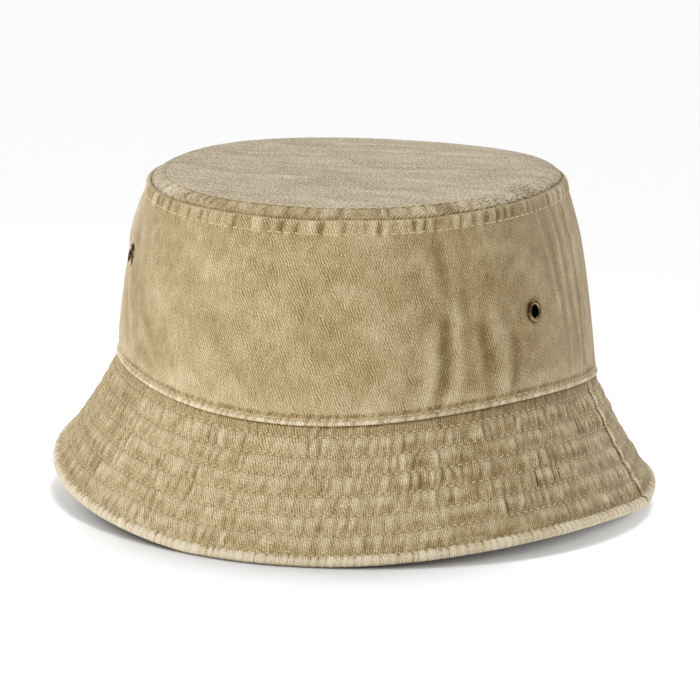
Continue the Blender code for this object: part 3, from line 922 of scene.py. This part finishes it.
def quilt(T, arc, seed, puff, pucker):
    """Height of the quilted brim cloth over its stitch rows, in mm, and its tone."""
    u = arc / EDGE_ROUND
    i = np.clip(np.searchsorted(LANES, T, side="right") - 1, 0, len(LANES) - 2)
    rows = np.array(LANES)
    w = np.clip((T - rows[i]) / (rows[i + 1] - rows[i]), 0, 1)
    wobble = 0.9 * value_noise(u, T * 9.0, EDGE_ROUND / 7.0, seed + 1)
    wrinkle = 0.45 * SHARED(arc + wobble + 1.7 * np.sin(i * 2.1) + seed)
    at = arc + wobble + (w - 0.5) * 1.5 + seed
    for k, table in enumerate(LANE_PUCKERS):
        wrinkle = wrinkle + np.where(i == k, 0.75 * table(at), 0.0)
    patch = fractal(u, T * 4.2, EDGE_ROUND / 17.0, seed + 2, 2)
    strength = np.clip(0.85 + 0.8 * patch, 0.3, 1.5)
    body = np.sin(np.pi * w) ** 0.6
    h = puff * body * (0.85 + 0.35 * patch) + pucker * wrinkle * strength * np.sin(np.pi * w) ** 0.5
    spots = fractal(u + 0.37, T * BRIM_MM / 3.0, EDGE_ROUND / 3.6, seed + 4, 2)
    clouds = fractal(u + 0.11, T * BRIM_MM / 9.0, EDGE_ROUND / 12.0, seed + 6, 2)
    tone = 0.46 * wrinkle * strength * body + 0.22 * spots + 0.06 * clouds + 0.04
    # Painted light and shade of each lane's puff: lighter below each row, darker above the next,
    # broken up by the spots.
    tone = tone + 0.12 * bump(w, 0.36, 0.24) - 0.13 * bump(w, 0.72, 0.20) * (0.8 - 1.2 * spots)
    # The first lane is darker, being less worn, and the strip right under the crown's lip is
    # painted shadow.
    first = 1 - smooth(T, 0.072, 0.092)
    tone = tone * (1 - 0.6 * first) - 0.16 * first - 0.6 * (1 - smooth(T, 0.012, 0.030))
    x = np.sin(u * 2 * np.pi)   # how far towards +X, from -1 to 1
    # Painted light and shade by side: more tone contrast towards +X in place of the relief's
    # shading, darker towards +X away from the side light, and darker towards -X to hold down the
    # lit side.
    tone = tone * (1.0 + 0.35 * smooth(x, 0.15, 0.75)) - 0.34 * smooth(-x, 0.4, 0.9)
    tone = tone - 0.26 * smooth(x, 0.4, 0.9)
    for row in BRIM_ROWS:       # painted shadow: a dark line under each row of stitches
        tone = tone - 0.46 * bump((T - row) * BRIM_MM, 0.05, 0.32)
    return h, tone


def brim_skin(deg, t):
    return between(brim_line(deg), t, -BRIM_SAG * 4.0 * t * (1.0 - t))


def brim_half(half, pitch, t):
    """Angles, grids of angle, height and arc, and points and normals of half the brim."""
    deg = columns(*HALVES[half], pitch, EDGE_ARC)
    D, T = np.meshgrid(deg, t)
    base = brim_skin(D, T)
    return deg, T, arc_of(D, EDGE_ARC), base, normals_of(base)


def hem_up(deg, inward):
    """Two rows of hidden hem, up inside the crown."""
    a, b, normal = crown_line(deg)
    return np.stack([a * k + b * (1 - k) - normal * inward for k in (0.06, 0.03)])


def brim_cloth(half, deg, v):
    """Where rows at depths v lie on the cut piece."""
    return BRIM_CUT.place(arc_of(deg, EDGE_ARC)[None], v[:, None], BRIM_MM,
                          arc_of(0.5 * sum(HALVES[half]), EDGE_ARC))


ROLL = 1.35                     # radius of the rolled edge, mm
ROLL_IN = 1.15                  # its middle, this far inside the edge


def build_brim_upper(half):
    t = join([np.linspace(0.0, BRIM_ROWS[-1], int(122 * DETAIL)), [0.922, 0.933, 0.944]])
    deg, T, arc, base, normal = brim_half(half, 0.62, t)
    h, tone = quilt(T, arc, 101, 0.55, 0.62)
    last = T > BRIM_ROWS[-1]
    teeth = EDGE_PUCKERS(arc)
    puffed = 1.15 * smooth(T, BRIM_ROWS[-1], 0.95) ** 0.6
    h = np.where(last, puffed + 0.20 * teeth, h)
    h = h - 0.22 * np.exp(-(((T[..., None] - np.array(BRIM_ROWS)) * BRIM_MM / 0.5) ** 2)).sum(-1)
    tone = np.where(last, 0.32 + 1.2 * teeth + 0.30 * smooth(T, 0.912, 0.945), tone)
    for away in away_from_seams(arc, EDGE_ARC):
        turn = T * BRIM_MM * 0.9 + away + 1.5 * value_noise(arc * 0.0, T * 7.0, 9, 133)
        slant = 0.30 * np.sin(2 * np.pi * turn / 5.4) * bump(away, 4.2, 2.8)
        h = h + 0.7 * seam_groove(away, 0.38) + 0.7 * slant
        tone = tone + seam_tone(away) + 0.7 * slant - 0.25 * bump(away, 7.5, 2.0)
    pts = base + normal * h[..., None]

    # Rolled edge, then back underneath as a narrow hem.
    e, out = brim_edge(deg), outward_of(deg, EDGE_OVAL)
    crimp = EDGE_PUCKERS(arc[0])[:, None]
    middle = e - out * ROLL_IN + UP * ROLL
    roll = []
    for ang in (58, 38, 18, -2, -22, -45, -68, -90, -115):
        q = math.radians(ang)
        size = ROLL + 0.16 * crimp * max(0.0, math.cos(q))
        roll.append(middle + (out * math.cos(q) + UP * math.sin(q)) * size)
    roll += [e - out * k + UP * z for k, z in ((3.2, 0.35), (4.6, 1.35), (5.7, 2.45))]
    groove = sum(bump(away[0], 0.0, 0.6) for away in away_from_seams(arc, EDGE_ARC))
    roll = [r - out * groove[:, None] * 0.6 for r in roll]
    grid = join([hem_up(deg, 1.0), pts, np.stack(roll)])
    v = join([[-3.0, -1.5], t * BRIM_MM, 0.95 * BRIM_MM + np.arange(1, len(roll) + 1) * 0.6])
    tip_tone = 0.80 + 0.65 * crimp[:, 0] - 0.7 * groove
    tail = np.linspace(1.0, 0.5, len(roll))[:, None] * tip_tone[None]
    tone = join([tone[:1] - 0.5, tone[:1] - 0.5, tone, tail])
    add_cloth("brim_upper_" + half, grid, brim_cloth(half, deg, v), tone, ("brim", "twill"),
              BRIM_CLOTH, (BRIM_CUT.width + 8, BRIM_CUT.length + 12, BRIM_CUT.area * 1.25))
    return t, pts


UNDER_OFF = 2.35                # the lower cloth's face, below the upper cloth's line, mm
INTERLINING_OFF = 1.15          # the same for the stiffener's upper face


def build_brim_under(half):
    t = np.linspace(0.0, 0.915, int(84 * DETAIL))
    deg, T, arc, base, normal = brim_half(half, 0.9, t)
    h, tone = quilt(T, arc, 151, 0.40, 0.26)
    for away in away_from_seams(arc, EDGE_ARC):
        h = h - 0.7 * bump(away, 0.0, 0.6)
        tone = tone - 0.8 * bump(away, 0.0, 0.6)
    pts = base - normal * (UNDER_OFF + h)[..., None]
    grid = join([hem_up(deg, 3.0), pts])[:, ::-1]
    tone = join([tone[:1], tone[:1], tone])[:, ::-1]
    v = join([[-3.0, -1.5], t * BRIM_MM])
    add_cloth("brim_under_" + half, grid, brim_cloth(half, deg[::-1], v), tone,
              ("underside", "underside"), BRIM_CLOTH,
              (BRIM_CUT.width + 4, BRIM_CUT.length + 4, BRIM_CUT.area))
    return t, pts


def build_interlining(half):
    """The stiff layer between the two brim cloths, which stays hidden."""
    t = np.linspace(0.02, 0.93, int(24 * DETAIL))
    deg, T, _, base, normal = brim_half(half, 2.0, t)
    cloth = (arc_of(deg, EDGE_ARC)[None], -t[:, None] * BRIM_MM)
    add_cloth("brim_interlining_" + half, base - normal * INTERLINING_OFF, cloth,
              np.zeros(T.shape), ("interlining", "interlining"), BRIM_CLOTH,
              (BRIM_CUT.width, BRIM_CUT.length, BRIM_CUT.area * 0.95))


# --- stitch rows ---

def row_line(grids, t_row):
    """Points and normals of one height on the front and back cloths, joined into a ring."""
    pts, nrm = [], []
    for t, grid in grids:
        i = int(np.clip(np.searchsorted(t, t_row), 1, len(t) - 1))
        w = (t_row - t[i - 1]) / (t[i] - t[i - 1])
        n = normals_of(grid)
        pts.append(blur_line(grid[i - 1] * (1 - w) + grid[i] * w, 1))
        nrm.append(unit(blur_line(n[i - 1] * (1 - w) + n[i] * w, 5)))
    return join(pts), join(nrm)


def blur_line(line, reach):
    padded = np.pad(line, ((reach, reach), (0, 0)), mode="edge")
    return sum(padded[i:i + len(line)] for i in range(2 * reach + 1)) / (2 * reach + 1)


def build_stitches(sides, tip_row, uppers, unders):
    for row, t_row in enumerate(BRIM_ROWS):     # the last row catches only the upper hem
        p, n = row_line(unders, min(t_row, 0.905))
        name = "brim_stitch_row_%d" % (row + 1)
        add_stitches(name, [row_line(uppers, t_row), (p, -n)], 2.9, 0.65, 0.25, name)
    for name, t_row in (("band_topstitch", BAND_ROW), ("crown_base_topstitch", BASE_ROW)):
        add_stitches(name, [row_line(sides, t_row)], 3.3, 0.6, 0.26, name)
    add_stitches("tip_topstitch", [tip_row], 3.5, 0.6, 0.26, "tip_topstitch")


# --- inside trim ---

def add_trim(node, pts, closed, look, u_mm, v_mm, thickness, width, length):
    """A strip of woven trim from rows of points, facing the inside of the crown."""
    pts = pts[:, ::-1]
    add_cloth(node, pts, (u_mm[:, ::-1], v_mm), np.zeros(pts.shape[:2]), look, thickness,
              (width, length, width * length), closed)


def build_inside():
    # Sweatband: folded cotton, pressed against the crown, with soft vertical buckles.
    deg = columns(-180.0, 180.0, 1.1, BASE_ARC)[:-1]
    top, depth = 0.60, 0.43     # shares of the panel's height
    D, T = np.meshgrid(deg, np.linspace(top, top + depth, int(36 * DETAIL)))
    arc = arc_of(D, BASE_ARC)
    line = crown_line(D)
    w = (T - top) / depth
    buckle = 0.35 * fractal(arc / BASE_ROUND, T * 2.0, 40, 201, 3)
    roll_in = 0.5 * (bump(w, 0.0, 0.05) + bump(w, 1.0, 0.05))
    off = -4.75 - buckle * np.sin(np.pi * w) + roll_in + 0.25 * bump(w * 30.0, 1.8, 0.5)
    pts = between(line, T, off)
    add_trim("sweatband", pts, True, ("band", "sweatband"), arc, T * -PANEL_MM, 0.6, 30, BASE_ROUND)
    i = int(np.argmin(np.abs(w[:, 0] - 0.06)))
    add_stitches("sweatband_stitches", [(pts[i], -line[2][i])], 3.4, 0.6, 0.24)

    # Binding tape over the tip seam.
    deg = columns(-180.0, 180.0, 1.1, TIP_ARC)[:-1]
    drop = np.linspace(-0.9, -9.0, int(16 * DETAIL))[:, None]
    seam, out = tip_seam(deg), outward_of(deg, TIP_OVAL)
    arc = np.repeat(arc_of(deg, TIP_ARC)[None], len(drop), 0)
    ripple = 0.15 * fractal(arc / TIP_ROUND, drop / 5.0, 70, 211, 2)
    pts = seam - out * (3.1 - ripple)[..., None] + UP * drop[..., None]
    add_trim("tip_seam_binding", pts, True, ("tape", "tape"), arc, drop, 0.45, 10.0, TIP_ROUND)

    # Flat tapes over the side seams.
    for side, sign in (("left", 1.0), ("right", -1.0)):
        D, T = np.meshgrid(np.linspace(-3.3, 3.3, int(16 * DETAIL)) + sign * SEAM_DEG,
                           np.linspace(0.08, 0.88, int(60 * DETAIL)))
        off = curve_through(BULGE_T, BULGE_OFF, T) - 1.75
        off = off - 0.12 * np.cos((D - sign * SEAM_DEG) * 1.9)
        add_trim("side_seam_tape_" + side, between(crown_line(D), T, off), False, ("tape", "tape"),
                 arc_of(D, BASE_ARC), T * -PANEL_MM, 0.4, 10.5, 0.8 * PANEL_MM)


# --- stage ---

FLOOR_GREY = (0.55, 0.55, 0.55, 1)
# Name, azimuth from the front towards +X, elevation, energy, angle across, and what it lights.
SUNS = [
    ("side light", -31.0, 26.0, 1.95, 45.0, "hat only"),
    ("top light from behind", 172.0, 58.0, 1.40, 60.0, "hat only"),
    ("floor light low", -174.0, 58.0, 1.30, 30.0, "floor only"),
    ("floor light", -174.0, 66.0, 1.90, 24.0, "floor only"),
    ("floor light high", -174.0, 80.0, 0.90, 60.0, "floor only"),
    ("floor light side", -98.0, 24.0, 0.9, 30.0, "floor only"),
    ("floor light side", 98.0, 24.0, 0.9, 30.0, "floor only"),
]
LAMPS = [(-0.28, 5.4), (0.28, 3.8)]     # place along X in m, and watts
CAMERA_AT = Vector((0.32512, -1.09206, 0.26080))
LOOK_AT = Vector((-0.00329, -0.00264, 0.05101))
CAMERA_LENS, CAMERA_ROLL_DEG = 163.2, 2.42


def build_stage():
    scene = bpy.context.scene
    scene.view_settings.view_transform = "Standard"
    scene.view_settings.look = "None"
    world = bpy.data.worlds.new("studio")
    world.use_nodes = True
    background = world.node_tree.nodes["Background"]
    background.inputs[0].default_value = (1, 1, 1, 1)
    background.inputs[1].default_value = 0.33
    scene.world = world

    def place(name, data):
        ob = bpy.data.objects.new(name, data)
        scene.collection.objects.link(ob)
        return ob

    mesh = bpy.data.meshes.new("floor")
    s = 3.0
    mesh.from_pydata([(-s, -s, 0), (s, -s, 0), (s, s, 0), (-s, s, 0)], [], [(0, 1, 2, 3)])
    floor = place("floor", mesh)
    m = Nodes("pale floor")
    m.surface(Base_Color=FLOOR_GREY, Roughness=0.9, Specular_IOR_Level=0.0)
    mesh.materials.append(m.mat)

    # Light groups that hold just the floor, for a light to include or to leave out.
    groups = {}
    for name, state in (("floor only", "INCLUDE"), ("hat only", "EXCLUDE")):
        groups[name] = bpy.data.collections.new(name)
        groups[name].objects.link(floor)
        groups[name].collection_objects[0].light_linking.link_state = state

    for name, azimuth, elevation, energy, angle, group in SUNS:
        data = bpy.data.lights.new(name, "SUN")
        data.energy = energy
        data.angle = math.radians(angle)
        ob = place(name, data)
        a, e = math.radians(azimuth), math.radians(elevation)
        toward = Vector((math.sin(a) * math.cos(e), -math.cos(a) * math.cos(e), math.sin(e)))
        ob.rotation_euler = toward.to_track_quat("Z", "Y").to_euler()
        ob.light_linking.receiver_collection = groups[group]
    for x, watts in LAMPS:
        data = bpy.data.lights.new("floor lamp", "POINT")
        data.shadow_soft_size = 0.10
        data.energy = watts
        lamp = place("floor lamp", data)
        lamp.location = (x, 0.0, 0.06)
        lamp.visible_camera = False
        lamp.light_linking.receiver_collection = groups["floor only"]

    data = bpy.data.cameras.new("camera")
    data.lens = CAMERA_LENS
    data.sensor_width = 36.0
    data.clip_start = 0.05
    cam = place("camera", data)
    turn = (LOOK_AT - CAMERA_AT).to_track_quat("-Z", "Y").to_matrix().to_4x4()
    roll = Matrix.Rotation(math.radians(CAMERA_ROLL_DEG), 4, "Z")
    cam.matrix_world = Matrix.Translation(CAMERA_AT) @ turn @ roll
    scene.camera = cam


sides = [build_side(half) for half in HALVES]
build_eyelets()
tip = build_tip()
uppers = [build_brim_upper(half) for half in HALVES]
unders = [build_brim_under(half) for half in HALVES]
for half in HALVES:
    build_interlining(half)
build_stitches(sides, tip, uppers, unders)
build_inside()
build_stage()
